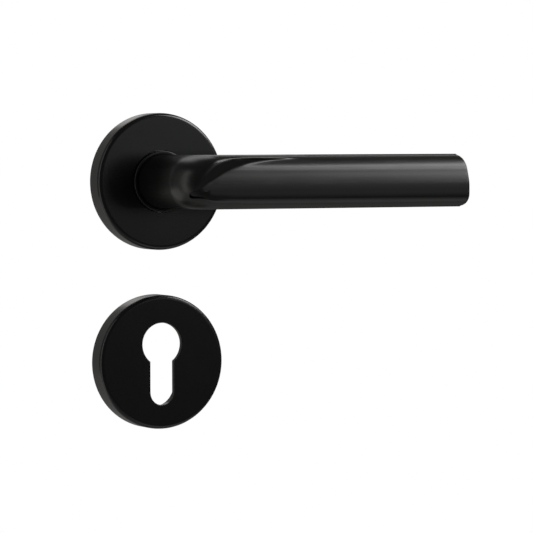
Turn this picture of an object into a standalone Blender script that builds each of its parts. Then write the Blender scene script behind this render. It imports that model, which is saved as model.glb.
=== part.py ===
"""Lever handle on a round rose, with its round escutcheon for a euro-profile cylinder.

World frame: +Z up, the door face is the plane Y = 0, the fittings stand out of it towards -Y.
The origin is the lever's turning axis at the door face.
Each fitting is drawn in its own "out of the door" frame: x along the lever, y up, z away from
the door. An empty turned by 90 degrees about X carries that frame into the world.
"""

import math

import bmesh
import bpy

MM = 0.001
FINE = 72  # steps of a turned cover
PLAIN = 40  # steps of a small turned piece

# Rose and escutcheon covers
ROSE_R = 27.5
ESC_R = 27.0
COVER_H = 9.0
EDGE_R = 1.7
CENTRES = 72.6  # spindle axis down to the escutcheon's centre
ROSE_WALL = 1.0
ESC_WALL = 2.0

# Euro-profile keyhole, in the escutcheon's own frame
PLUG_UP = 7.2
PLUG_R = 8.6
SLOT_HALF = 5.15
SLOT_LOW = -17.3

# Lever
TUBE_R = 10.75
NECK_START = 8.9
CREST_OUT = 53.5  # front of the round tube from the door
FACE_OUT = 51.0  # front of the pressed grip face from the door
TUBE_OUT = CREST_OUT - TUBE_R
GRIP_HALF = 10.75
LEVER_LEN = 118.5
INNER_BEND = 2.0
OUTER_BEND = 12.0
JOURNAL_R = 9.0
SQUARE = 8.0
SOCKET = 8.16
SOCKET_END = 24.0
SPINDLE_BEHIND = 42.0
GRUB_OUT = 15.0
LEVER_DOWN = 45.0  # degrees of travel

# Layers inside the rose, as distance from the door
CLIP_Z = (0.72, 1.46)
WASHER_Z = (1.6, 2.0)
DRIVER_Z = (2.15, 3.15)
BASE_WALL_Z = (6.5, 7.7)
PLATE_Z = (0.35, 1.15)

# Fixing screws
ROSE_SCREW_UP = 19.0
ESC_SCREW_ACROSS = 19.0
PILLAR_X = 20.5

# Stops, spring post and driver lugs, in degrees round the axis from the lever's direction
LUG_HALF = 8.0
LUG_REST = 22.5
LUG_SPRING = 201.0
STOP_WIDE = 12.0
POST = (125.0, 133.0)
COIL_R = 12.1
WIRE = 1.0
COIL_PITCH = 1.1


# ---------------------------------------------------------------- scene and helpers

for old in list(bpy.data.objects):
    bpy.data.objects.remove(old)


def new_collection(name, hidden=False):
    made = bpy.data.collections.new(name)
    bpy.context.scene.collection.children.link(made)
    made.hide_render = hidden
    return made


PARTS = new_collection("lever_handle_set")
HELPERS = new_collection("cutters", hidden=True)


def finish(name, colour, metallic, roughness):
    made = bpy.data.materials.new(name)
    made.use_nodes = True
    shader = made.node_tree.nodes["Principled BSDF"]
    shader.inputs["Base Color"].default_value = (*colour, 1)
    shader.inputs["Metallic"].default_value = metallic
    shader.inputs["Roughness"].default_value = roughness
    made.diffuse_color = (*colour, 1)
    return made


def frame_at(name, up):
    """An empty whose z points out of the door, at this height on the door face."""
    made = bpy.data.objects.new(name, None)
    made.empty_display_size = 0.01
    made.rotation_euler = (math.pi / 2, 0, 0)
    made.location = (0, 0, up * MM)
    PARTS.objects.link(made)
    return made


ROSE = frame_at("rose_axis", 0)
ESC = frame_at("escutcheon_axis", -CENTRES)


def place(name, mesh, surface, parent, helper=False):
    obj = bpy.data.objects.new(name, mesh)
    obj.parent = parent
    if helper:
        HELPERS.objects.link(obj)
        obj.hide_render = True
        obj.display_type = "WIRE"
    else:
        PARTS.objects.link(obj)
        made = finish(name + "_finish", *surface)
        mesh.materials.append(made)
    return obj


def lathe(name, profile, surface, parent, steps=PLAIN, helper=False):
    """A turned piece. The profile of (radius, height) runs down its outer side first."""
    mesh = bpy.data.meshes.new(name)
    last = len(profile) - 1
    edges = [(i, i + 1) for i in range(last)]
    if profile[0][0] > 0:
        edges.append((last, 0))
    mesh.from_pydata([(r * MM, 0, z * MM) for r, z in profile], edges, [])
    obj = place(name, mesh, surface, parent, helper)
    screw = obj.modifiers.new("turned", "SCREW")
    screw.axis = "Z"
    screw.steps = steps
    screw.render_steps = steps
    screw.use_merge_vertices = True
    screw.merge_threshold = 0.000002
    return obj


def circle(x, y, r, steps=PLAIN, start=0.0):
    turn = [start + 2 * math.pi * i / steps for i in range(steps)]
    return [(x + r * math.cos(a), y + r * math.sin(a)) for a in turn]


def polar(r, degrees):
    a = math.radians(degrees)
    return (r * math.cos(a), r * math.sin(a))


def arc(r, start, end, steps):
    return [polar(r, start + (end - start) * i / steps) for i in range(steps + 1)]


def plate(name, outlines, low, high, surface, parent, helper=False):
    """A flat piece cut to these outlines, the first the outside and the others its holes."""
    curve = bpy.data.curves.new(name + "_outline", "CURVE")
    curve.dimensions = "2D"
    curve.fill_mode = "BOTH"
    curve.extrude = (high - low) / 2 * MM
    for outline in outlines:
        spline = curve.splines.new("POLY")
        spline.points.add(len(outline) - 1)
        for point, (x, y) in zip(spline.points, outline):
            point.co = (x * MM, y * MM, 0, 1)
        spline.use_cyclic_u = True
    drawn = bpy.data.objects.new(name + "_outline", curve)
    HELPERS.objects.link(drawn)
    bpy.context.view_layer.update()
    mesh = bpy.data.meshes.new_from_object(drawn)
    mesh.name = name
    bpy.data.objects.remove(drawn)
    bm = bmesh.new()
    bm.from_mesh(mesh)
    bmesh.ops.remove_doubles(bm, verts=bm.verts, dist=0.000001)
    bmesh.ops.recalc_face_normals(bm, faces=bm.faces)
    bmesh.ops.translate(bm, vec=(0, 0, (low + high) / 2 * MM), verts=bm.verts)
    bm.to_mesh(mesh)
    bm.free()
    return place(name, mesh, surface, parent, helper)


def box(name, low, high, parent, surface=None):
    """A block between two corners: a cutter, unless it is given a surface."""
    mesh = bpy.data.meshes.new(name)
    bm = bmesh.new()
    bmesh.ops.create_cube(bm, size=1)
    size = [(b - a) * MM for a, b in zip(low, high)]
    middle = [(a + b) / 2 * MM for a, b in zip(low, high)]
    bmesh.ops.scale(bm, vec=size, verts=bm.verts)
    bmesh.ops.translate(bm, vec=middle, verts=bm.verts)
    bm.to_mesh(mesh)
    bm.free()
    return place(name, mesh, surface, parent, helper=surface is None)


def combine(obj, other, how):
    step = obj.modifiers.new(other.name, "BOOLEAN")
    step.operation = how
    step.solver = "EXACT"
    step.object = other


def cut(obj, *others):
    for other in others:
        combine(obj, other, "DIFFERENCE")


def weld(obj, *others):
    for other in others:
        combine(obj, other, "UNION")


def sector(name, r0, r1, start, end, low, high, parent):
    outline = arc(r0, start, end, 4) + arc(r1, end, start, 4)
    return plate(name, [outline], low, high, None, parent, helper=True)


def ease(t):
    t = min(1.0, max(0.0, t))
    return t * t * (3 - 2 * t)


def along(table, t):
    """Linear reading of a short list of (position, value) pairs."""
    if t <= table[0][0]:
        return table[0][1]
    for (a, va), (b, vb) in zip(table, table[1:]):
        if t <= b:
            return va + (vb - va) * (t - a) / (b - a)
    return table[-1][1]


# ---------------------------------------------------------------- lever

# How far the pressed face lies behind its own front, up the section
RECEDE = [
    (-10.5, 7.5), (-10.3, 5.6), (-9.5, 3.0), (-8.7, 1.7), (-7.9, 0.9), (-7.0, 0.35),
    (-6.2, 0.08), (-4.0, 0.0), (-1.4, 0.06), (0.0, 0.35), (1.7, 0.85), (3.4, 1.45),
    (5.0, 2.05), (6.7, 3.0), (8.3, 4.7), (9.2, 6.2), (9.9, 8.0), (10.3, 9.6), (10.5, 11.0),
]
# Where the shoulder between tube and pressed face starts and ends along the lever
SHOULDER_TOP = [
    (-4.6, -8.6), (-2.6, -8.2), (0.6, -5.7), (3.9, -3.0), (6.7, 0.6), (9.1, 6.0), (10.5, 12.0),
]
SHOULDER_FOOT = [
    (-4.6, -5.6), (-2.2, -1.8), (0.6, 2.6), (3.0, 7.1), (5.0, 11.6), (6.7, 16.0),
    (8.1, 22.8), (8.9, 29.5), (9.5, 38.4), (10.5, 50.0),
]
# The lower lip of the pressed face, and how soft it is, along the lever
LIP = [(-8.0, -5.2), (0.0, -6.6), (9.0, -7.6), (16.0, -9.0), (26.0, -11.5)]
LIP_SOFT = [(-8.0, 0.7), (0.0, 0.9), (12.0, 1.8), (26.0, 3.0)]
POCKET = (-3.6, -4.7)
POCKET_DEEP = 2.2


def pressed(x, y):
    """How far the tube has been pressed to the grip's face here, from 0 to 1."""
    start = along(SHOULDER_TOP, y)
    end = along(SHOULDER_FOOT, y)
    across = ease((x - start) / (end - start))
    soft = along(LIP_SOFT, x)
    return across * ease((y - along(LIP, x)) / soft + 0.5)


def pocket(x, y):
    dx = (x - POCKET[0]) / (3.0 if x < POCKET[0] else 6.0)
    dy = (y - POCKET[1]) / 1.7
    return POCKET_DEEP * math.exp(-dx * dx - dy * dy)


def grip_point(x, y, out, theta):
    """Moves a point of the plain tube to the pressed lever."""
    back_share = ease((x - 12.0) / 38.0)
    side = math.sin(theta)
    y_new = y * (1 - back_share * (1 - GRIP_HALF / TUBE_R))
    if math.cos(theta) >= 0:
        share = pressed(x, y_new)
        edge = ease((abs(y_new) - 8.6) / 1.8)
        share += (back_share - share) * edge
        target = FACE_OUT - along(RECEDE, y_new)
        dent = pocket(x, y_new) * min(1.0, 1.6 * share)
        return y_new, out + share * (target - out) - dent
    middle = FACE_OUT - 9.25 - 1.75 * side
    target = middle + 6.4 * math.cos(theta)
    return y_new, out + back_share * (target - out)


def lever_sections(around):
    """Rings of points from the shank's end to the tip."""
    turn = [2 * math.pi * i / around for i in range(around)]
    rings = []
    shank = [
        (0.15, 8.7), (0.3, 8.9), (0.62, 8.9), (0.62, 8.0), (1.56, 8.0), (1.56, JOURNAL_R),
        (NECK_START, JOURNAL_R), (NECK_START, TUBE_R - 0.3), (NECK_START + 0.3, TUBE_R),
    ]
    pivot_x = TUBE_R + INNER_BEND
    pivot_out = TUBE_OUT - TUBE_R - INNER_BEND
    shank += [(NECK_START + (pivot_out - NECK_START) * t, TUBE_R) for t in (0.35, 0.7)]
    for out, r in shank:
        rings.append([(-r * math.cos(a), r * math.sin(a), out) for a in turn])
    wide = 2 * TUBE_R + INNER_BEND
    inner = wide - OUTER_BEND
    steps = 18
    for i in range(steps + 1):
        phi = math.pi / 2 * i / steps
        c, s = math.cos(phi), math.sin(phi)
        far = wide / max(c, s)
        if min(c, s) * far > inner:
            reach = inner * (c + s)
            far = reach + math.sqrt(reach * reach - 2 * inner * inner + OUTER_BEND ** 2)
        half = (far - INNER_BEND) / 2
        ring = []
        for a in turn:
            rho = INNER_BEND + half * (1 + math.cos(a))
            x = pivot_x - rho * c
            y, out = grip_point(x, TUBE_R * math.sin(a), pivot_out + rho * s, a)
            ring.append((x, y, out))
        rings.append(ring)
    stations = [14.8 + 3.2 * i for i in range(11)] + [53.0, 90.0]
    for x in stations + [LEVER_LEN - 1.0, LEVER_LEN - 0.55, LEVER_LEN - 0.2, LEVER_LEN]:
        drop = x - (LEVER_LEN - 1.0)
        inset = 1 - math.sqrt(max(0.0, 1 - drop * drop)) if drop > 0 else 0.0
        ring = []
        for a in turn:
            y, out = grip_point(x, TUBE_R * math.sin(a), TUBE_OUT + TUBE_R * math.cos(a), a)
            y *= 1 - inset / GRIP_HALF
            out += (FACE_OUT - 8.0 - out) * inset / 8.0
            ring.append((x, y, out))
        rings.append(ring)
    return rings


def loft(name, rings, surface, parent):
    mesh = bpy.data.meshes.new(name)
    count = len(rings[0])
    points = [(x * MM, y * MM, z * MM) for ring in rings for x, y, z in ring]
    faces = [list(range(count))]
    for r in range(len(rings) - 1):
        for i in range(count):
            j = (i + 1) % count
            a, b = r * count, (r + 1) * count
            faces.append([a + i, b + i, b + j, a + j])
    faces.append([len(points) - 1 - i for i in range(count)])
    mesh.from_pydata(points, [], faces)
    bm = bmesh.new()
    bm.from_mesh(mesh)
    bmesh.ops.recalc_face_normals(bm, faces=bm.faces)
    bm.to_mesh(mesh)
    bm.free()
    return place(name, mesh, surface, parent)


BLACK_METAL = ((0.012, 0.012, 0.013), 0.0, 0.36)
BLACK_COAT = ((0.010, 0.010, 0.011), 0.0, 0.45)
BLACK_NYLON = ((0.012, 0.012, 0.012), 0.0, 0.5)
ZINC = ((0.62, 0.63, 0.64), 1.0, 0.35)
SPRING_STEEL = ((0.30, 0.30, 0.31), 1.0, 0.3)
DARK_STEEL = ((0.06, 0.06, 0.065), 1.0, 0.4)

lever = loft("lever", lever_sections(56), BLACK_METAL, ROSE)
half = SOCKET / 2
cut(
    lever,
    box("spindle_socket", (-half, -half, -1), (half, half, SOCKET_END), ROSE),
    box("shank_flat_top", (-12, 7.9, -1), (12, 12, DRIVER_Z[1] + 0.25), ROSE),
    box("shank_flat_low", (-12, -12, -1), (12, -7.9, DRIVER_Z[1] + 0.25), ROSE),
)
grub_hole = lathe(
    "grub_hole", [(0, 9), (2.6, 9), (2.6, 0), (0, 0)], None, ROSE, steps=32, helper=True
)
grub_hole.rotation_euler = (math.pi / 2, 0, 0)
grub_hole.location = (0, -3.4 * MM, GRUB_OUT * MM)
cut(lever, grub_hole)

grub = lathe(
    "grub_screw",
    [(0, 5.5), (2.0, 5.5), (2.4, 5.1), (2.4, 0.5), (1.6, 0), (0, 0)],
    DARK_STEEL, ROSE, steps=32,
)
grub.rotation_euler = (math.pi / 2, 0, 0)
grub.location = (0, -4.3 * MM, GRUB_OUT * MM)
hexagon = plate("grub_hexagon", [circle(0, 0, 1.5, 6)], 2.6, 6.5, None, ROSE, helper=True)
hexagon.rotation_euler = grub.rotation_euler
hexagon.location = grub.location
cut(grub, hexagon)


# ---------------------------------------------------------------- rose

def rounded_cover(radius, wall, hole):
    """Section of a turned cover, down its outside and back up its inside."""
    corner = []
    for degrees in (90, 67.5, 45, 22.5, 0):
        a = math.radians(degrees)
        r = radius - EDGE_R + EDGE_R * math.cos(a)
        corner.append((r, COVER_H - EDGE_R + EDGE_R * math.sin(a)))
    inside = radius - 1.2
    section = [(hole, COVER_H)] if hole else [(0, COVER_H)]
    section += corner + [(radius, 0.25), (radius - 0.25, 0), (inside, 0)]
    section += [(inside, COVER_H - wall - 0.7), (inside - 0.7, COVER_H - wall)]
    return section + [(hole, COVER_H - wall)]


rose_cover = lathe(
    "rose_cover", rounded_cover(ROSE_R, ROSE_WALL, 12.5), BLACK_COAT, ROSE, steps=FINE
)

low, high = BASE_WALL_Z
rose_base = lathe(
    "rose_base",
    [
        (10.6, high), (25.3, high), (25.8, high - 0.5), (25.8, 0.0), (24.4, 0.0),
        (24.4, low), (10.6, low),
    ],
    ZINC, ROSE, steps=FINE,
)


def countersunk_hole(name, x, y, top, mouth, bore, bottom, parent):
    """Cutter for a screw hole with a 90 degree mouth."""
    made = lathe(
        name,
        [
            (0, top + 1), (mouth + 1, top + 1), (bore, top - (mouth - bore)), (bore, bottom),
            (0, bottom),
        ],
        None, parent, steps=32, helper=True,
    )
    made.location = (x * MM, y * MM, 0)
    return made


for side, sign in (("top", 1), ("bottom", -1)):
    up = sign * ROSE_SCREW_UP
    boss = plate(
        "rose_boss_" + side, [circle(0, up, 4.9, 32)], 0.0, low + 0.5, None, ROSE, helper=True
    )
    weld(rose_base, boss)
for side, sign in (("left", -1), ("right", 1)):
    pillar = plate(
        "rose_pillar_" + side, [circle(sign * PILLAR_X, 0, 2.6, 32)],
        PLATE_Z[1] + 0.1, low + 0.5, None, ROSE, helper=True,
    )
    weld(rose_base, pillar)
upper = LUG_REST + LUG_HALF + 0.4
lower = LUG_REST - LEVER_DOWN - LUG_HALF - 0.4
weld(
    rose_base,
    sector("rest_stop", 14.6, 18.8, upper, upper + STOP_WIDE, 3.5, low + 0.5, ROSE),
    sector("down_stop", 14.6, 18.8, lower - STOP_WIDE, lower, 3.5, low + 0.5, ROSE),
    sector("spring_post", 14.6, 18.8, POST[0], POST[1], 3.5, low + 0.5, ROSE),
)
for side, sign in (("top", 1), ("bottom", -1)):
    up = sign * ROSE_SCREW_UP
    cut(
        rose_base,
        countersunk_hole("rose_screw_hole_" + side, 0, up, high, 4.5, 2.2, -1, ROSE),
    )
for side, sign in (("left", -1), ("right", 1)):
    x = sign * PILLAR_X
    hole = plate(
        "pillar_hole_" + side, [circle(x, 0, 1.25, 24)], 0, 5.9, None, ROSE, helper=True
    )
    edge = sorted((sign * 24.86, sign * 27.0))
    notch = box("clip_notch_" + side, (edge[0], -2.8, 0.8), (edge[1], 2.8, 6.3), ROSE)
    cut(rose_base, hole, notch)


def clip_spring(name, parent, turn):
    """Thin strip spring that grips the inside of a pushed-on cover."""
    outer = [(25.2, 1.05), (25.35, 2.1), (26.02, 3.6), (25.35, 5.1), (25.2, 6.1)]
    outline = outer + [(x - 0.3, z) for x, z in reversed(outer)]
    made = plate(name, [outline], -2.5, 2.5, SPRING_STEEL, parent)
    bm = bmesh.new()
    bm.from_mesh(made.data)
    for vert in bm.verts:
        x, z, y = vert.co
        vert.co = (x, y, z)
    bm.normal_update()
    bmesh.ops.recalc_face_normals(bm, faces=bm.faces)
    bm.to_mesh(made.data)
    bm.free()
    made.rotation_euler = (0, 0, math.radians(turn))
    return made


clip_spring("rose_clip_right", ROSE, 0)
clip_spring("rose_clip_left", ROSE, 180)

lathe(
    "neck_bush",
    [
        (10.95, 10.2), (11.9, 10.2), (12.18, 10.08), (12.3, 9.8), (12.3, 7.95), (10.4, 7.95),
        (10.4, 5.7), (9.06, 5.7), (9.06, NECK_START - 0.2), (10.95, NECK_START - 0.2),
    ],
    BLACK_NYLON, ROSE, steps=FINE,
)


def double_d(r, flat):
    """Round outline with two flats, above and below."""
    edge = math.degrees(math.asin(flat / r))
    return arc(r, -edge, edge, 16) + arc(r, 180 - edge, 180 + edge, 16)


def driver_outline():
    outline = []
    marks = [LUG_REST, LUG_SPRING]
    at = -90.0
    for mark in marks:
        outline += arc(13.4, at, mark - LUG_HALF, 12)[:-1]
        outline += arc(17.4, mark - LUG_HALF, mark + LUG_HALF, 4)
        at = mark + LUG_HALF
    return outline + arc(13.4, at, 270.0, 8)[:-1]


driver = plate(
    "driver_plate", [driver_outline(), double_d(JOURNAL_R + 0.07, 7.97)],
    DRIVER_Z[0], DRIVER_Z[1], ZINC, ROSE,
)
for name, mark in (("rest_lug", LUG_REST), ("spring_lug", LUG_SPRING)):
    weld(
        driver,
        sector(
            name, 15.2, 17.1, mark - LUG_HALF + 0.3, mark + LUG_HALF - 0.3,
            DRIVER_Z[1] - 0.4, 5.4, ROSE,
        ),
    )

# Return spring: its fixed leg bears on the post, its moving leg on the driver's spring lug
wire_half = math.degrees(WIRE / 2 / 16.0)
fixed_at = POST[1] + wire_half + 0.5
moving_at = LUG_SPRING - LUG_HALF - wire_half - 0.5
sweep = moving_at - 720.0 - fixed_at
coil_high = 6.35 - WIRE / 2 - 0.1
count = 60
path = [(*polar(17.6, fixed_at), coil_high)]
path.append((*polar(14.4, fixed_at), coil_high))
for i in range(count + 1):
    t = i / count
    spot = polar(COIL_R, fixed_at - 5 + (sweep + 10) * t)
    path.append((*spot, coil_high - COIL_PITCH * abs(sweep) / 360 * t))
low_end = coil_high - COIL_PITCH * abs(sweep) / 360
path.append((*polar(14.4, moving_at), low_end))
path.append((*polar(17.2, moving_at), low_end))
wire = bpy.data.curves.new("return_spring", "CURVE")
wire.dimensions = "3D"
wire.bevel_depth = WIRE / 2 * MM
wire.bevel_resolution = 2
wire.use_fill_caps = True
spline = wire.splines.new("POLY")
spline.points.add(len(path) - 1)
for point, (x, y, z) in zip(spline.points, path):
    point.co = (x * MM, y * MM, z * MM, 1)
spring = bpy.data.objects.new("return_spring", wire)
spring.parent = ROSE
PARTS.objects.link(spring)
wire.materials.append(finish("return_spring_finish", *SPRING_STEEL))

plate(
    "thrust_washer",
    [circle(0, 0, 11.8), circle(0, 0, JOURNAL_R + 0.15)],
    WASHER_Z[0], WASHER_Z[1], SPRING_STEEL, ROSE,
)
ring = arc(10.0, -76, 256, 48)
ring = [polar(10.9, -78), polar(10.9, -68)] + ring[3:-3] + [polar(10.9, 248), polar(10.9, 258)]
ring += arc(8.12, 258, -78, 48)
plate(
    "circlip",
    [ring, circle(*polar(9.9, -73), 0.5, 12), circle(*polar(9.9, 253), 0.5, 12)],
    CLIP_Z[0], CLIP_Z[1], SPRING_STEEL, ROSE,
)
tabs = arc(13.6, 14, 166, 24) + arc(23.4, 168, 192, 8)
tabs += arc(13.6, 194, 346, 24) + arc(23.4, 348, 372, 8)
retainer = plate(
    "spring_cover_plate", [tabs, circle(0, 0, 11.3)], PLATE_Z[0], PLATE_Z[1], ZINC, ROSE
)
for side, sign in (("left", -1), ("right", 1)):
    x = sign * PILLAR_X * MM
    seat = lathe(
        "plate_screw_seat_" + side,
        [(0, 2.2), (1.3, 2.2), (1.3, 1.35), (3.25, -0.6), (0, -0.6)],
        None, ROSE, steps=32, helper=True,
    )
    seat.location = (x, 0, 0)
    cut(retainer, seat)
    small = lathe(
        "plate_screw_" + side,
        [(0, 5.4), (0.7, 5.4), (1.1, 5.0), (1.1, 1.35), (2.2, 0.25), (0, 0.25)],
        ZINC, ROSE, steps=24,
    )
    small.location = (x, 0, 0)
    slot = box("plate_screw_slot_" + side, (-3, -0.25, -1), (3, 0.25, 0.75), ROSE)
    slot.location = (x, 0, 0)
    cut(small, slot)

half = SQUARE / 2
spindle = box(
    "spindle", (-half, -half, -SPINDLE_BEHIND), (half, half, SOCKET_END - 2), ROSE, ZINC
)
ends = spindle.modifiers.new("broken_edges", "BEVEL")
ends.width = 0.0005
ends.segments = 1


def fixing_screw(name, x, y, head_top, length, parent):
    """Countersunk screw with a cross recess, its head facing out of the door."""
    tip = head_top - length
    screw = lathe(
        name,
        [
            (0, head_top), (3.9, head_top), (3.9, head_top - 0.25),
            (1.95, head_top - 2.2), (1.95, tip + 1.2), (1.0, tip), (0, tip),
        ],
        ZINC, parent, steps=32,
    )
    screw.location = (x * MM, y * MM, 0)
    for index, (a, b) in enumerate(((2.1, 0.45), (0.45, 2.1))):
        arm = box(
            name + "_recess_" + str(index), (-a, -b, head_top - 1.7), (a, b, head_top + 1),
            parent,
        )
        arm.location = screw.location
        cut(screw, arm)
    return screw


fixing_screw("rose_screw_top", 0, ROSE_SCREW_UP, high - 0.15, 40.0, ROSE)
fixing_screw("rose_screw_bottom", 0, -ROSE_SCREW_UP, high - 0.15, 40.0, ROSE)


# ---------------------------------------------------------------- escutcheon

def keyhole(grow_round, grow_slot, low_end):
    """Euro-profile outline: a round plug hole over a round-ended slot."""
    r = PLUG_R + grow_round
    half_slot = SLOT_HALF + grow_slot
    start = math.degrees(math.asin(half_slot / r))
    round_part = [
        (r * math.sin(math.radians(a)), PLUG_UP - r * math.cos(math.radians(a)))
        for a in [start + (360 - 2 * start) * i / 40 for i in range(41)]
    ]
    centre = low_end + half_slot
    foot = [
        (-half_slot * math.cos(math.pi * i / 20), centre - half_slot * math.sin(math.pi * i / 20))
        for i in range(21)
    ]
    return round_part + foot


esc_profile = rounded_cover(ESC_R, ESC_WALL, 0)
escutcheon_cover = lathe("escutcheon_cover", esc_profile, BLACK_COAT, ESC, steps=FINE)
cut(
    escutcheon_cover,
    plate("keyhole", [keyhole(0, 0, SLOT_LOW)], 5.0, 11.0, None, ESC, helper=True),
)

escutcheon_base = lathe(
    "escutcheon_base",
    [
        (0, 2.0), (23.7, 2.0), (23.7, 6.5), (24.8, 6.5), (25.3, 6.0), (25.3, 0.0), (0, 0.0),
    ],
    BLACK_NYLON, ESC, steps=FINE,
)
for side, sign in (("left", -1), ("right", 1)):
    x = sign * ESC_SCREW_ACROSS
    boss = plate(
        "escutcheon_boss_" + side, [circle(x, 0, 5.0, 32)], 1.0, 5.6, None, ESC, helper=True
    )
    weld(escutcheon_base, boss)
cut(
    escutcheon_base,
    plate("cylinder_clearance", [keyhole(3.8, 3.9, SLOT_LOW - 1.3)], -1, 8, None, ESC, True),
)
for side, sign in (("left", -1), ("right", 1)):
    x = sign * ESC_SCREW_ACROSS
    cut(
        escutcheon_base,
        countersunk_hole("escutcheon_screw_hole_" + side, x, 0, 5.6, 4.5, 2.2, -1, ESC),
    )
    fixing_screw("escutcheon_screw_" + side, x, 0, 5.45, 16.5, ESC)
for side, sign in (("top", 1), ("bottom", -1)):
    edge = sorted((sign * 24.26, sign * 27.0))
    notch = box("strip_notch_" + side, (-2.8, edge[0], 0.8), (2.8, edge[1], 8), ESC)
    cut(escutcheon_base, notch)
    strip = clip_spring("escutcheon_clip_" + side, ESC, 90 * sign)
    strip.scale = (0.98, 1, 1)

for obj in PARTS.objects:
    if obj.type == "MESH":
        obj.data.shade_smooth()
        obj.data.set_sharp_from_angle(angle=math.radians(35))
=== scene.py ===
"""Black lever handle on a round rose, with its round escutcheon for a euro-profile cylinder.

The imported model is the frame: +Z up, the door face at Y = 0, the fittings standing out
towards -Y, the lever's turning axis through the origin. Lengths here are in millimetres and
are turned into metres by at() and MM. "out" is a distance from the door face.
"""

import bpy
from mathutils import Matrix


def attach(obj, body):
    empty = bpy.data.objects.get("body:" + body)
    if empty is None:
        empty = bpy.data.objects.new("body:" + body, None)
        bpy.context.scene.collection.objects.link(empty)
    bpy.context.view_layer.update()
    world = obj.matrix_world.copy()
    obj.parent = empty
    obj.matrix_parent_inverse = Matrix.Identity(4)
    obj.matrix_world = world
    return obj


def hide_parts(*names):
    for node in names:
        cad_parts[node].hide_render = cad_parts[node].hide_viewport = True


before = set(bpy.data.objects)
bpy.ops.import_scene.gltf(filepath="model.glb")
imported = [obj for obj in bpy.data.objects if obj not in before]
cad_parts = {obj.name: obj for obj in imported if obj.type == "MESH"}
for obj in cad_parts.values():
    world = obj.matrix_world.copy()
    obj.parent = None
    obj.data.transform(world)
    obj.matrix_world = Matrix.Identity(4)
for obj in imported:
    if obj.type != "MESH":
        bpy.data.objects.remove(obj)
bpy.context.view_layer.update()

import math

import bpy
from mathutils import Matrix, Vector

MM = 0.001
TURN = 2 * math.pi

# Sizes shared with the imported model
ROSE_R = 27.5
ESC_R = 27.0
COVER_H = 9.0
EDGE_R = 1.7
RIM_WALL = 1.2
ESC_DOWN = 72.6
PLUG_UP = 7.2
PLUG_R = 8.6
SLOT_HALF = 5.15
SLOT_LOW = -17.3
KEY_REACH = 19.0
KEY_BEVEL = 0.35

TUBE_R = 10.75
NECK_START = 8.9
CREST_OUT = 53.5
FACE_OUT = 51.0
TUBE_OUT = CREST_OUT - TUBE_R
LEVER_LEN = 118.5
INNER_BEND = 2.0
OUTER_BEND = 14.0
JOURNAL_R = 9.0


def at(x, out, up):
    """A point from its distances along the lever, out of the door and up, in millimetres."""
    return Vector((x, -out, up)) * MM


# ---------------------------------------------------------------- camera

def add_camera():
    """Looks at the set from the left and a little above, from 1.3 m."""
    distance, azimuth, elevation = 1.3, -24.45, 2.27
    yaw, pitch, roll = -1.832, -0.078, -0.161
    aim = Vector((0, -0.010, -0.036))

    def backwards(a, e):
        a, e = math.radians(a), math.radians(e)
        return Vector((math.sin(a) * math.cos(e), -math.cos(a) * math.cos(e), math.sin(e)))

    back = backwards(azimuth + yaw, elevation + pitch)
    right = Vector((0, 0, 1)).cross(back).normalized()
    up = back.cross(right)
    r = math.radians(roll)
    right, up = right * math.cos(r) + up * math.sin(r), up * math.cos(r) - right * math.sin(r)
    data = bpy.data.cameras.new("studio_camera")
    data.sensor_width, data.lens = 36, 218.6
    data.clip_start = 0.05
    camera = bpy.data.objects.new("studio_camera", data)
    bpy.context.scene.collection.objects.link(camera)
    turned_to = Matrix((right, up, back)).transposed().to_4x4()
    place = aim + distance * backwards(azimuth, elevation)
    camera.matrix_world = Matrix.Translation(place) @ turned_to
    bpy.context.scene.camera = camera


# ---------------------------------------------------------------- studio

def area_light(name, place, aim, size, glow, colour=(1, 1, 1)):
    """A softbox of this radiance, which shows in reflections and not to the camera."""
    data = bpy.data.lights.new(name, "AREA")
    data.shape = "RECTANGLE"
    data.size, data.size_y = size
    data.energy = glow * math.pi * size[0] * size[1]
    data.color = colour
    lamp = bpy.data.objects.new(name, data)
    bpy.context.scene.collection.objects.link(lamp)
    lamp.location = place
    lamp.rotation_euler = (Vector(aim) - Vector(place)).to_track_quat("-Z", "Y").to_euler()
    lamp.visible_camera = False


def add_world():
    """White all round for the eye, and a dim even light for the surfaces."""
    world = bpy.data.worlds.new("studio")
    bpy.context.scene.world = world
    world.use_nodes = True
    nodes, links = world.node_tree.nodes, world.node_tree.links
    nodes.clear()
    out = nodes.new("ShaderNodeOutputWorld")
    seen = nodes.new("ShaderNodeBackground")
    seen.inputs["Color"].default_value = (1, 1, 1, 1)
    light = nodes.new("ShaderNodeBackground")
    light.inputs["Color"].default_value = (1, 0.99, 0.98, 1)
    light.inputs["Strength"].default_value = 0.085
    path = nodes.new("ShaderNodeLightPath")
    mix = nodes.new("ShaderNodeMixShader")
    links.new(path.outputs["Is Camera Ray"], mix.inputs[0])
    links.new(light.outputs[0], mix.inputs[1])
    links.new(seen.outputs[0], mix.inputs[2])
    links.new(mix.outputs[0], out.inputs["Surface"])
    view = bpy.context.scene.view_settings
    view.view_transform = "Standard"
    view.look = "None"


def add_floor():
    """A wide pale floor well below the set, which glows a little to the eye alone."""
    bpy.ops.object.select_all(action="DESELECT")
    bpy.ops.mesh.primitive_plane_add(size=6, location=(0, 0, -0.95))
    floor = bpy.context.object
    floor.name = "studio_floor"
    made, shader, nodes, links = finish("pale_floor", (0.85, 0.85, 0.84), 0.0, 0.9)
    path = nodes.new("ShaderNodeLightPath")
    links.new(path.outputs["Is Camera Ray"], shader.inputs["Emission Strength"])
    shader.inputs["Emission Color"].default_value = (0.62, 0.62, 0.61, 1)
    floor.data.materials.append(made)


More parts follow.
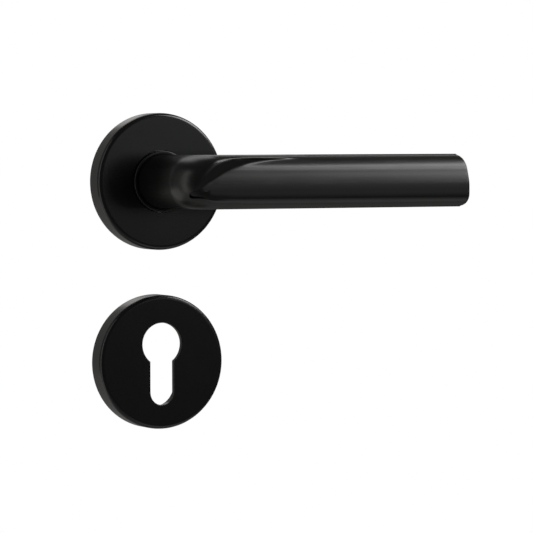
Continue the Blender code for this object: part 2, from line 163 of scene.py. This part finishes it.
def add_studio():
    """One strong softbox high on the right, and weak ones that draw the dark metal's edges."""
    add_world()
    add_floor()
    middle = (0.03, -0.03, -0.02)
    warm, warmer, cool = (1, 0.98, 0.95), (1, 0.97, 0.93), (0.97, 0.98, 1)
    area_light("overhead_softbox", (0.56, -0.26, 0.46), (0.10, -0.05, 0), (0.58, 0.42), 6.0)
    area_light("overhead_rear", (0.10, 0.46, 0.60), (-0.02, -0.03, 0), (0.34, 0.4), 1.2)
    area_light("left_strip", (-0.9, -0.17, 0.02), middle, (0.34, 2.2), 1.15, warm)
    area_light("left_rear_fill", (-0.85, 0.31, 0.0), middle, (0.5, 2.0), 0.18, warm)
    area_light("backdrop_glow", (-0.17, 0.9, 0.0), (-0.17, 0, 0), (1.14, 1.2), 0.16, warmer)
    area_light("backdrop_top", (0.40, 0.88, 0.36), (0.22, 0, 0.1), (0.60, 0.3), 0.7, warmer)
    area_light("table_glow", (-0.5, 0.4, -0.45), middle, (0.6, 0.5), 0.55, (1, 0.98, 0.94))
    area_light("front_right_fill", (0.42, -0.62, 0.09), middle, (0.44, 0.24), 0.5, cool)
    area_light("low_bounce", (0.25, -0.27, -0.5), middle, (0.6, 0.3), 0.38)


# ---------------------------------------------------------------- finishes

def finish(name, colour, metallic, roughness):
    """A material with a Principled shader, and its node tree's parts."""
    made = bpy.data.materials.new(name)
    made.use_nodes = True
    made.diffuse_color = (*colour, 1)
    nodes, links = made.node_tree.nodes, made.node_tree.links
    shader = nodes["Principled BSDF"]
    shader.inputs["Base Color"].default_value = (*colour, 1)
    shader.inputs["Metallic"].default_value = metallic
    shader.inputs["Roughness"].default_value = roughness
    return made, shader, nodes, links


def grain(nodes, links, source, scale, stretch=(1, 1, 1), detail=3.0, rough=0.55):
    """Noise over these coordinates, stretched along each axis. Returns its value from 0 to 1."""
    mapping = nodes.new("ShaderNodeMapping")
    mapping.inputs["Scale"].default_value = stretch
    noise = nodes.new("ShaderNodeTexNoise")
    noise.inputs["Scale"].default_value = scale
    noise.inputs["Detail"].default_value = detail
    noise.inputs["Roughness"].default_value = rough
    links.new(source, mapping.inputs["Vector"])
    links.new(mapping.outputs[0], noise.inputs["Vector"])
    return noise.outputs["Fac"]


def between(nodes, links, value, low, high, start=0.0, end=1.0):
    """Remaps a value that runs from start to end onto low to high."""
    node = nodes.new("ShaderNodeMapRange")
    for socket, number in (("From Min", start), ("From Max", end), ("To Min", low), ("To Max", high)):
        node.inputs[socket].default_value = number
    links.new(value, node.inputs["Value"])
    return node.outputs[0]


def mixed(nodes, links, share, first, second):
    """Goes from the first value to the second as the share goes from 0 to 1."""
    node = nodes.new("ShaderNodeMix")
    node.data_type = "FLOAT"
    links.new(share, node.inputs["Factor"])
    links.new(first, node.inputs["A"])
    links.new(second, node.inputs["B"])
    return node.outputs["Result"]


def tint(nodes, links, shader, value, low, high):
    """Colours the shader from low to high by this value."""
    ramp = nodes.new("ShaderNodeValToRGB")
    ramp.color_ramp.elements[0].color = (*low, 1)
    ramp.color_ramp.elements[1].color = (*high, 1)
    links.new(value, ramp.inputs[0])
    links.new(ramp.outputs[0], shader.inputs["Base Color"])


def bump(nodes, links, shader, value, depth_mm, strength):
    """Raises the surface by up to this depth where the value is high."""
    node = nodes.new("ShaderNodeBump")
    node.inputs["Distance"].default_value = depth_mm * MM
    node.inputs["Strength"].default_value = strength
    links.new(value, node.inputs["Height"])
    links.new(node.outputs[0], shader.inputs["Normal"])


def brushed_black():
    """Satin black metal, brushed along the grip and round the neck.

    The lever's own "unbent" attribute is the place on its tube, as if it had never been bent.
    """
    made, shader, nodes, links = finish("brushed_black_metal", (0.003, 0.003, 0.0028), 0.0, 0.38)
    unbent = nodes.new("ShaderNodeAttribute")
    unbent.attribute_name = "unbent"
    place = unbent.outputs["Vector"]
    lengthwise = grain(nodes, links, place, 1.0, (45, 2600, 2600), 4.0, 0.6)
    crosswise = grain(nodes, links, place, 1.0, (2400, 110, 110), 4.0, 0.6)
    split = nodes.new("ShaderNodeSeparateXYZ")
    links.new(place, split.inputs[0])
    on_grip = between(nodes, links, split.outputs["X"], 0.0, 1.0, 0.040, 0.062)
    streaks = mixed(nodes, links, on_grip, crosswise, lengthwise)
    cloudy = grain(nodes, links, place, 1.0, (60, 160, 160), 2.0, 0.5)
    worn = mixed(nodes, links, cloudy, streaks, cloudy)
    links.new(between(nodes, links, worn, 0.28, 0.37, 0.3, 0.7), shader.inputs["Roughness"])
    tint(nodes, links, shader, streaks, (0.0022, 0.0022, 0.0021), (0.0045, 0.0043, 0.004))
    bump(nodes, links, shader, streaks, 0.008, 0.6)
    return made


def coated_black():
    """Fine-grained black coat of a cover, with cloudy patches of polish."""
    made, shader, nodes, links = finish("matt_black_coat", (0.003, 0.003, 0.0034), 0.0, 0.26)
    where = nodes.new("ShaderNodeTexCoord").outputs["Object"]
    specks = grain(nodes, links, where, 2600, detail=2.0, rough=0.6)
    cloudy = grain(nodes, links, where, 90, detail=2.0)
    worn = nodes.new("ShaderNodeMath")
    worn.operation = "MULTIPLY_ADD"
    links.new(specks, worn.inputs[0])
    worn.inputs[1].default_value = 0.10
    links.new(between(nodes, links, cloudy, 0.16, 0.22), worn.inputs[2])
    links.new(worn.outputs[0], shader.inputs["Roughness"])
    tint(nodes, links, shader, specks, (0.0022, 0.0022, 0.0026), (0.0044, 0.0044, 0.0052))
    bump(nodes, links, shader, specks, 0.002, 0.5)
    return made


def black_nylon():
    """Moulded black nylon with a fine grain."""
    made, shader, nodes, links = finish("black_nylon", (0.003, 0.003, 0.003), 0.0, 0.3)
    where = nodes.new("ShaderNodeTexCoord").outputs["Object"]
    specks = grain(nodes, links, where, 1500, detail=3.0)
    links.new(between(nodes, links, specks, 0.24, 0.36), shader.inputs["Roughness"])
    tint(nodes, links, shader, specks, (0.002, 0.002, 0.002), (0.004, 0.004, 0.004))
    bump(nodes, links, shader, specks, 0.002, 0.5)
    return made


def zinc_plate():
    """Zinc-plated steel: bluish, cloudy, with fine rolling marks."""
    made, shader, nodes, links = finish("zinc_plated_steel", (0.6, 0.62, 0.64), 1.0, 0.35)
    where = nodes.new("ShaderNodeTexCoord").outputs["Object"]
    cloudy = grain(nodes, links, where, 260, detail=5.0, rough=0.65)
    marks = grain(nodes, links, where, 1.0, (300, 300, 4200), 3.0)
    links.new(between(nodes, links, cloudy, 0.24, 0.5, 0.3, 0.7), shader.inputs["Roughness"])
    tint(nodes, links, shader, cloudy, (0.40, 0.43, 0.47), (0.68, 0.68, 0.66))
    bump(nodes, links, shader, marks, 0.006, 0.5)
    return made


def drawn_spring_wire():
    """Oil-tempered spring steel: dark grey in uneven patches."""
    made, shader, nodes, links = finish("spring_steel", (0.2, 0.2, 0.21), 1.0, 0.32)
    where = nodes.new("ShaderNodeTexCoord").outputs["Object"]
    patches = grain(nodes, links, where, 700, detail=4.0)
    links.new(between(nodes, links, patches, 0.2, 0.42, 0.3, 0.7), shader.inputs["Roughness"])
    tint(nodes, links, shader, patches, (0.12, 0.12, 0.13), (0.30, 0.29, 0.28))
    bump(nodes, links, shader, patches, 0.004, 0.5)
    return made


def blackened_steel():
    """Blackened steel of the grub screw, worn in patches."""
    made, shader, nodes, links = finish("blackened_steel", (0.04, 0.04, 0.042), 1.0, 0.4)
    where = nodes.new("ShaderNodeTexCoord").outputs["Object"]
    patches = grain(nodes, links, where, 1100, detail=3.0)
    links.new(between(nodes, links, patches, 0.28, 0.5), shader.inputs["Roughness"])
    tint(nodes, links, shader, patches, (0.025, 0.025, 0.027), (0.07, 0.07, 0.07))
    bump(nodes, links, shader, patches, 0.005, 0.5)
    return made


# ---------------------------------------------------------------- modelling helpers

def only(obj):
    """Selects this piece and nothing else."""
    bpy.ops.object.select_all(action="DESELECT")
    obj.select_set(True)
    bpy.context.view_layer.objects.active = obj


def edit(obj):
    """Opens a piece in edit mode with all its points selected."""
    only(obj)
    bpy.ops.object.mode_set(mode="EDIT")
    bpy.ops.mesh.select_mode(type="VERT")
    bpy.ops.mesh.select_all(action="SELECT")


def leave_edit():
    """Back to object mode."""
    bpy.ops.object.mode_set(mode="OBJECT")


def settle(obj, name, made, smooth=35):
    """Names a finished piece, puts its place in its mesh and gives it its finish."""
    only(obj)
    bpy.ops.object.transform_apply(location=True, rotation=True, scale=True)
    obj.name = name
    obj.data.materials.clear()
    obj.data.materials.append(made)
    bpy.ops.object.shade_smooth_by_angle(angle=math.radians(smooth))
    return obj


def start_point(x, out, up):
    """A mesh of one vertex, left in edit mode, ready to be drawn out into a profile."""
    bpy.ops.object.select_all(action="DESELECT")
    bpy.ops.mesh.primitive_plane_add(size=MM, location=at(x, out, up))
    obj = bpy.context.object
    bpy.ops.object.transform_apply(location=True, rotation=False, scale=False)
    edit(obj)
    bpy.ops.mesh.merge(type="CENTER")
    return obj


def draw_to(here, there):
    """Draws the selected point out into an edge."""
    step = Vector(there) - Vector(here)
    bpy.ops.mesh.extrude_vertices_move(TRANSFORM_OT_translate={"value": step})


def turned(profile, steps=128, x=0.0, up=0.0):
    """Spins a profile of (radius, out) round an axis that comes straight out of the door.

    A profile that starts on the axis ends on it; any other is closed on itself.
    """
    spots = [at(x + r, out, up) for r, out in profile]
    if profile[0][0] > 0:
        spots.append(spots[0])
    obj = start_point(x + profile[0][0], profile[0][1], up)
    for here, there in zip(spots, spots[1:]):
        draw_to(here, there)
    bpy.ops.mesh.select_all(action="SELECT")
    bpy.ops.mesh.remove_doubles(threshold=0.000001)
    bpy.ops.mesh.select_all(action="SELECT")
    bpy.ops.mesh.spin(steps=steps, angle=TURN, center=at(x, 0, up), axis=(0, 1, 0))
    bpy.ops.mesh.select_all(action="SELECT")
    bpy.ops.mesh.remove_doubles(threshold=0.000002)
    bpy.ops.mesh.normals_make_consistent(inside=False)
    leave_edit()
    return obj


def cut_by(obj, cutter, how="DIFFERENCE"):
    """Cuts a piece by a cutter, or joins them, and clears the cutter away."""
    only(obj)
    step = obj.modifiers.new("cut", "BOOLEAN")
    step.operation = how
    step.solver = "EXACT"
    step.object = cutter
    bpy.ops.object.modifier_apply(modifier=step.name)
    bpy.data.objects.remove(cutter)
    return obj


def rod(x, out, up, radius, depth, sides=48, along_up=False):
    """A round cutter centred here, its axis out of the door or, if asked, up it."""
    bpy.ops.object.select_all(action="DESELECT")
    bpy.ops.mesh.primitive_cylinder_add(
        vertices=sides, radius=radius * MM, depth=depth * MM, location=at(x, out, up),
        rotation=(0 if along_up else math.pi / 2, 0, 0),
    )
    obj = bpy.context.object
    bpy.ops.object.transform_apply(location=True, rotation=True, scale=True)
    return obj


def block(low, high):
    """A block between two corners given as (x, out, up)."""
    bpy.ops.object.select_all(action="DESELECT")
    middle = [(a + b) / 2 for a, b in zip(low, high)]
    bpy.ops.mesh.primitive_cube_add(size=1, location=at(*middle))
    obj = bpy.context.object
    obj.scale = [abs(b - a) * MM for a, b in zip(low, high)]
    bpy.ops.object.transform_apply(location=True, rotation=True, scale=True)
    return obj


def even_shading(obj):
    """Keeps flat faces flat beside rounded edges."""
    only(obj)
    step = obj.modifiers.new("even", "WEIGHTED_NORMAL")
    step.keep_sharp = True
    bpy.ops.object.modifier_apply(modifier=step.name)


def ease(t):
    """From 0 to 1 with a soft start and end."""
    t = min(1.0, max(0.0, t))
    return t * t * (3 - 2 * t)


def along(table, t):
    """Smooth reading of a short list of (position, value) pairs."""
    if t <= table[0][0]:
        return table[0][1]
    if t >= table[-1][0]:
        return table[-1][1]
    n = len(table)
    i = max(k for k in range(n - 1) if table[k][0] <= t)
    (a, va), (b, vb) = table[i], table[i + 1]

    def slope(k):
        lo, hi = max(k - 1, 0), min(k + 1, n - 1)
        return (table[hi][1] - table[lo][1]) / (table[hi][0] - table[lo][0])

    h = b - a
    u = (t - a) / h
    return (
        va * (1 + 2 * u) * (1 - u) ** 2 + vb * u * u * (3 - 2 * u)
        + h * slope(i) * u * (1 - u) ** 2 + h * slope(i + 1) * u * u * (u - 1)
    )


# ---------------------------------------------------------------- lever

# How far the pressed face lies behind its own front, up the section
RECEDE = [
    (-10.5, 7.5), (-10.3, 5.6), (-9.5, 3.0), (-8.7, 1.7), (-7.9, 0.9), (-7.0, 0.35),
    (-6.2, 0.08), (-4.0, 0.0), (-1.4, 0.06), (0.0, 0.35), (1.7, 0.85), (3.4, 1.45),
    (5.0, 2.05), (6.7, 3.0), (8.3, 4.7), (9.2, 6.2), (9.9, 8.0), (10.3, 9.6), (10.5, 11.0),
]
# Where the tube's round section starts to turn into the grip's, and over what length
GRIP_FROM, GRIP_OVER = 12.0, 38.0
# Where the front's section gives way to its rounded rims, and how softly
RIM_UP, RIM_SOFT = 8.6, 1.8
# The grip's back: its middle behind the face, its lean from top to bottom, half its thickness
BACK_MIDDLE, BACK_LEAN, BACK_HALF = 9.25, 1.75, 6.4

# The crease where the elbow's shoulder comes down to the pressed face, along the lever
CREASE = [
    (-9.0, -7.0), (-6.0, -4.6), (-3.5, -2.9), (0.6, -0.5), (2.8, 0.6), (8.2, 3.4), (12.5, 5.2),
    (19.0, 7.0), (26.0, 8.0), (34.0, 8.8), (44.0, 9.4), (60.0, 10.5),
]
CREASE_SOFT = 0.5
# The shoulder rises from the crease at this slope, and meets the tube this softly
SHOULDER_RISE = 0.32
SHOULDER_SOFT = 1.6
# Along this stretch the upper front of the tube swells from round to squarer
SWELL_FROM, SWELL_OVER = -3.0, 8.0
# Along this stretch the tube's front sinks all the way to the pressed face
FOOT_FROM, FOOT_OVER, FOOT_SOFT = 2.0, 12.0, 2.0
# The lower lip of the pressed face, and how soft it is, along the lever
LIP = [(-8.0, -5.2), (0.0, -6.6), (9.0, -7.6), (16.0, -9.0), (26.0, -11.5)]
LIP_SOFT = [(-8.0, 0.35), (-3.0, 0.6), (3.0, 1.6), (12.0, 2.4), (26.0, 3.2)]
# A short fold under the shoulder: a round-ended pocket that runs out along the grip
POCKET = (-4.4, -4.7)
POCKET_R = 1.35
POCKET_EDGE = 0.5
POCKET_DEEP = 1.6
POCKET_LONG = 6.5

PIVOT_X = TUBE_R + INNER_BEND
PIVOT_OUT = TUBE_OUT - TUBE_R - INNER_BEND
# The elbow's length along its middle line, as the brush marks follow it
ELBOW_LONG = 22.0
TIP_ROUND = 1.0
TIP_MIDDLE = FACE_OUT - 8.0

AROUND = 256
NECK_RINGS = 10
ELBOW_STEPS = 108
# The turned shank under the neck's foot, as (out, radius): step, journal, circlip groove, end
SHANK = [
    (NECK_START, TUBE_R - 0.3), (NECK_START, JOURNAL_R), (1.56, JOURNAL_R), (1.56, 8.0),
    (0.62, 8.0), (0.62, 8.9), (0.3, 8.9), (0.15, 8.7),
]
SPINDLE_HALF = 4.08
FLAT_UP = 7.9


def lower_of(a, b, soft):
    """The smaller of two heights, rounded where they meet."""
    share = max(0.0, soft - abs(a - b)) / soft
    return min(a, b) - share * share * soft / 4


def squarer(x, up):
    """How much fuller than round the upper front of the tube is here."""
    power = 2 + ease((x - SWELL_FROM) / SWELL_OVER)
    side = min(1.0, max(0.0, up) / TUBE_R)
    return TUBE_R * ((1 - side ** power) ** (1 / power) - math.sqrt(1 - side * side))


def front_out(x, up, out):
    """Pressed height of the tube's front here: shoulder, face and lower lip."""
    above = up - along(CREASE, x)
    wall = (above + math.sqrt(above * above + CREASE_SOFT * CREASE_SOFT)) / 2
    face = FACE_OUT - along(RECEDE, up - wall) + SHOULDER_RISE * wall
    joined = lower_of(out, face, SHOULDER_SOFT)
    joined += (face - joined) * ease((x - FOOT_FROM) / FOOT_OVER) * ease(-above / FOOT_SOFT)
    lip = ease((up - along(LIP, x)) / along(LIP_SOFT, x) + 0.5)
    return out + lip * (joined - out)


def pocket(x, up):
    """Depth of the fold here."""
    beyond = x - POCKET[0]
    away = math.hypot(min(beyond, 0.0), up - POCKET[1])
    inside = ease((POCKET_R - away) / POCKET_EDGE + 0.5)
    return POCKET_DEEP * inside * (1 - ease(beyond / POCKET_LONG))


def pressed_point(x, up, out, theta):
    """Moves a point of the plain tube to the pressed lever."""
    as_grip = ease((x - GRIP_FROM) / GRIP_OVER)
    if math.cos(theta) >= 0:
        out += squarer(x, up)
        middle = front_out(x, up, out)
        rim = out + as_grip * (FACE_OUT - along(RECEDE, up) - out)
        middle += (rim - middle) * ease((abs(up) - RIM_UP) / RIM_SOFT)
        return x, middle - pocket(x, up), up
    back = FACE_OUT - BACK_MIDDLE - BACK_LEAN * math.sin(theta) + BACK_HALF * math.cos(theta)
    return x, out + as_grip * (back - out), up


def elbow_reach(phi):
    """Distance from the inner bend's centre to the outside of the elbow."""
    c, s = math.cos(phi), math.sin(phi)
    wide = 2 * TUBE_R + INNER_BEND
    inner = wide - OUTER_BEND
    far = wide / max(c, s)
    if min(c, s) * far > inner:
        reach = inner * (c + s)
        far = reach + math.sqrt(reach * reach - 2 * inner * inner + OUTER_BEND ** 2)
    return far


def shape_lever(point):
    """(pressed place, unbent place) of a point on the plain bent tube, in millimetres.

    The tube is in three lengths: the neck, the elbow and the grip.
    """
    x, out, up = point.x / MM, -point.y / MM, point.z / MM
    near = 0.001
    if out <= PIVOT_OUT + near and x < PIVOT_X - near:
        theta = math.atan2(up, -x)
        return (x, out, up), (out, TUBE_R * math.cos(theta), TUBE_R * math.sin(theta))
    if x >= PIVOT_X - near:
        theta = math.atan2(up, out - TUBE_OUT)
        length = PIVOT_OUT + ELBOW_LONG + x - PIVOT_X
        place = pressed_point(x, up, out, theta)
    else:
        phi = math.atan2(out - PIVOT_OUT, PIVOT_X - x)
        rho = math.hypot(out - PIVOT_OUT, PIVOT_X - x)
        theta = math.atan2(up, rho - INNER_BEND - TUBE_R)
        half = (elbow_reach(phi) - INNER_BEND) / 2
        rho = INNER_BEND + half * (1 + math.cos(theta))
        length = PIVOT_OUT + ELBOW_LONG * phi / (math.pi / 2)
        x, out = PIVOT_X - rho * math.cos(phi), PIVOT_OUT + rho * math.sin(phi)
        place = pressed_point(x, up, out, theta)
    drop = (place[0] - (LEVER_LEN - TIP_ROUND)) / TIP_ROUND
    if drop > 0:
        inset = TIP_ROUND * (1 - math.sqrt(max(0.0, 1 - min(1.0, drop) ** 2)))
        x, out, up = place
        up *= 1 - inset / TUBE_R
        out += (TIP_MIDDLE - out) * inset / (FACE_OUT - TIP_MIDDLE)
        place = (x, out, up)
    return place, (length, TUBE_R * math.cos(theta), TUBE_R * math.sin(theta))


def select_where(obj, parts, test):
    """Selects the points or faces whose place passes, and opens edit mode on them."""
    edit(obj)
    bpy.ops.mesh.select_all(action="DESELECT")
    leave_edit()
    for part in parts:
        place = part.co if hasattr(part, "co") else part.center
        part.select = test(place.x / MM, -place.y / MM, place.z / MM)
    bpy.ops.object.mode_set(mode="EDIT")


def bent_tube():
    """A ring drawn up the neck, spun round the elbow and drawn along the grip."""
    bpy.ops.object.select_all(action="DESELECT")
    foot = NECK_START + 0.3
    bpy.ops.mesh.primitive_circle_add(
        vertices=AROUND, radius=TUBE_R * MM, fill_type="NOTHING",
        location=at(0, foot, 0), rotation=(math.pi / 2, 0, 0),
    )
    obj = bpy.context.object
    bpy.ops.object.transform_apply(location=True, rotation=True, scale=True)
    edit(obj)
    rise = at(0, (PIVOT_OUT - foot) / NECK_RINGS, 0)
    for _ in range(NECK_RINGS):
        bpy.ops.mesh.extrude_region_move(TRANSFORM_OT_translate={"value": rise})
    bpy.ops.mesh.spin(
        steps=ELBOW_STEPS, angle=-math.pi / 2, center=at(PIVOT_X, PIVOT_OUT, 0), axis=(0, 0, 1)
    )
    fine = [PIVOT_X + 0.4 * i for i in range(1, 51)] + [PIVOT_X + 20 + 0.8 * i for i in range(1, 36)]
    coarse = [PIVOT_X + s for s in (50, 54, 60, 68, 78, 88, 97, 103, 104.4)]
    tip = [LEVER_LEN - TIP_ROUND * (1 - math.sin(math.pi / 2 * i / 6)) for i in range(7)]
    here = PIVOT_X
    for there in fine + coarse + tip:
        bpy.ops.mesh.extrude_region_move(TRANSFORM_OT_translate={"value": at(there - here, 0, 0)})
        here = there
    leave_edit()
    return obj


def press_lever(obj):
    """Presses the bent tube to its shape, with a finer mesh round the fold."""
    select_where(
        obj, obj.data.polygons, lambda x, out, up: -10.9 < x < 3 and out > 42 and -8.5 < up < -1.5
    )
    bpy.ops.mesh.select_mode(type="FACE")
    bpy.ops.mesh.subdivide(number_cuts=2, smoothness=0)
    bpy.ops.mesh.select_mode(type="VERT")
    leave_edit()
    unbent = obj.data.attributes.new("unbent", "FLOAT_VECTOR", "POINT")
    for vertex, spot in zip(obj.data.vertices, unbent.data):
        place, flat = shape_lever(vertex.co)
        vertex.co = at(*place)
        spot.vector = [length * MM for length in flat]


def close_tip(obj):
    """Closes the grip's flat end by rings that shrink to its middle."""
    select_where(obj, obj.data.vertices, lambda x, out, up: x > LEVER_LEN - 0.01)
    for shrink in (0.9, 0.7, 0.5, 0.3):
        bpy.ops.mesh.extrude_region_move(TRANSFORM_OT_translate={"value": (0, 0, 0)})
        bpy.ops.transform.resize(
            value=(shrink, shrink, shrink), center_override=at(LEVER_LEN, TIP_MIDDLE, 0)
        )
    bpy.ops.mesh.edge_face_add()
    leave_edit()


def draw_shank(obj):
    """Draws the neck's foot back through the rose, stepped as a turner leaves it."""
    out, radius = NECK_START + 0.3, TUBE_R
    select_where(obj, obj.data.vertices, lambda x, far, up: far < NECK_START + 0.31)
    for next_out, next_radius in SHANK:
        bpy.ops.mesh.extrude_region_move(
            TRANSFORM_OT_translate={"value": at(0, next_out - out, 0)}
        )
        bpy.ops.transform.resize(
            value=(next_radius / radius, 1, next_radius / radius), center_override=(0, 0, 0)
        )
        out, radius = next_out, next_radius
    bpy.ops.mesh.edge_face_add()
    bpy.ops.mesh.select_all(action="SELECT")
    bpy.ops.mesh.normals_make_consistent(inside=False)
    leave_edit()


def make_lever(made):
    """The lever: a bent and pressed tube on a shank with a square hole and a grub screw's hole."""
    obj = bent_tube()
    press_lever(obj)
    close_tip(obj)
    draw_shank(obj)
    cut_by(obj, block((-SPINDLE_HALF, -1, -SPINDLE_HALF), (SPINDLE_HALF, 24, SPINDLE_HALF)))
    cut_by(obj, block((-12, -1, FLAT_UP), (12, 3.4, 12)))
    cut_by(obj, block((-12, -1, -12), (12, 3.4, -FLAT_UP)))
    cut_by(obj, rod(0, 15, -8, 2.6, 9.2, along_up=True))
    settle(obj, "lever_handle", made, smooth=40)
    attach(obj, "lever_set")
    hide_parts("lever")


# ---------------------------------------------------------------- covers and bush

def cover_profile(radius, wall, hole):
    """Down the outside of a turned cover from its hole or middle, and back up its inside."""
    head = [(0, COVER_H)]
    if hole:
        head = [(hole, COVER_H - 0.15), (hole + 0.05, COVER_H - 0.05), (hole + 0.15, COVER_H)]
    corner = []
    for i in range(9):
        a = math.pi / 2 * (1 - i / 8)
        r, out = radius - EDGE_R, COVER_H - EDGE_R
        corner.append((r + EDGE_R * math.cos(a), out + EDGE_R * math.sin(a)))
    inside, under = radius - RIM_WALL, COVER_H - wall
    section = head + [(radius - EDGE_R - 0.25, COVER_H)] + corner
    section += [(radius, 0.25), (radius - 0.08, 0.08), (radius - 0.25, 0), (inside, 0)]
    return section + [(inside, under - 0.7), (inside - 0.7, under), (hole, under)]


def make_rose_cover(made):
    """The rose's turned cap, with a round hole for the bush."""
    obj = turned(cover_profile(ROSE_R, 1.0, 12.5), 256)
    settle(obj, "rose_cover_turned", made)
    even_shading(obj)
    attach(obj, "rose_cap")
    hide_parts("rose_cover")


def keyhole_cutter():
    """Round plug hole joined to a round-ended slot, as one cutter through the cover's front."""
    near, far = COVER_H - 4, COVER_H + 2
    middle, deep = (near + far) / 2, far - near
    foot = SLOT_LOW - ESC_DOWN + SLOT_HALF
    plug = rod(0, middle, PLUG_UP - ESC_DOWN, PLUG_R, deep, 128)
    slot = block((-SLOT_HALF, near, foot), (SLOT_HALF, far, PLUG_UP - ESC_DOWN))
    end = rod(0, middle, foot, SLOT_HALF, deep, 96)
    cut_by(plug, slot, "UNION")
    return cut_by(plug, end, "UNION")


def make_escutcheon_cover(made):
    """The escutcheon's turned cap, its keyhole cut through and its front edge broken."""
    obj = turned(cover_profile(ESC_R, 2.0, 0), 256, up=-ESC_DOWN)
    cut_by(obj, keyhole_cutter())
    edit(obj)
    bpy.ops.mesh.dissolve_limited(angle_limit=math.radians(0.5))
    bpy.ops.mesh.select_all(action="DESELECT")
    leave_edit()
    spots = obj.data.vertices
    for edge in obj.data.edges:
        ends = [spots[i].co / MM for i in edge.vertices]
        front = all(abs(-p.y - COVER_H) < 0.01 for p in ends)
        inside = all(math.hypot(p.x, p.z + ESC_DOWN) < KEY_REACH for p in ends)
        edge.select = front and inside
    bpy.ops.object.mode_set(mode="EDIT")
    bpy.ops.mesh.select_mode(type="EDGE")
    bpy.ops.mesh.bevel(offset=KEY_BEVEL * MM, segments=4, affect="EDGES")
    leave_edit()
    settle(obj, "escutcheon_cover_turned", made)
    even_shading(obj)
    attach(obj, "escutcheon_cap")
    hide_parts("escutcheon_cover")


def make_neck_bush(made):
    """The flanged bush that the neck turns in, as (radius, out) round its section."""
    profile = [
        (10.95, 10.1), (10.98, 10.17), (11.05, 10.2), (12.05, 10.2), (12.18, 10.16),
        (12.26, 10.08), (12.3, 9.95), (12.3, 7.95), (10.4, 7.95),
        (10.4, 5.7), (9.06, 5.7), (9.06, 8.7), (10.95, 8.7),
    ]
    obj = turned(profile, 192)
    settle(obj, "neck_bush_ring", made)
    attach(obj, "door_side")
    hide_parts("neck_bush")


def dress_nodes(zinc, spring, dark, nylon, metal, coat):
    """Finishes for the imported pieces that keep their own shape."""
    dressed = {
        zinc: [
            "rose_base", "spindle", "driver_plate", "spring_cover_plate", "plate_screw_left",
            "plate_screw_right", "rose_screw_top", "rose_screw_bottom",
            "escutcheon_screw_left", "escutcheon_screw_right",
        ],
        spring: [
            "return_spring", "thrust_washer", "circlip", "rose_clip_left", "rose_clip_right",
            "escutcheon_clip_top", "escutcheon_clip_bottom",
        ],
        dark: ["grub_screw"],
        nylon: ["escutcheon_base", "neck_bush"],
        metal: ["lever"],
        coat: ["rose_cover", "escutcheon_cover"],
    }
    for made, names in dressed.items():
        for name in names:
            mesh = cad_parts[name].data
            mesh.materials.clear()
            mesh.materials.append(made)


add_camera()
add_studio()
metal = brushed_black()
coat = coated_black()
nylon = black_nylon()
zinc = zinc_plate()
spring = drawn_spring_wire()
dark = blackened_steel()
dress_nodes(zinc, spring, dark, nylon, metal, coat)
make_lever(metal)
make_rose_cover(coat)
make_escutcheon_cover(coat)
make_neck_bush(nylon)
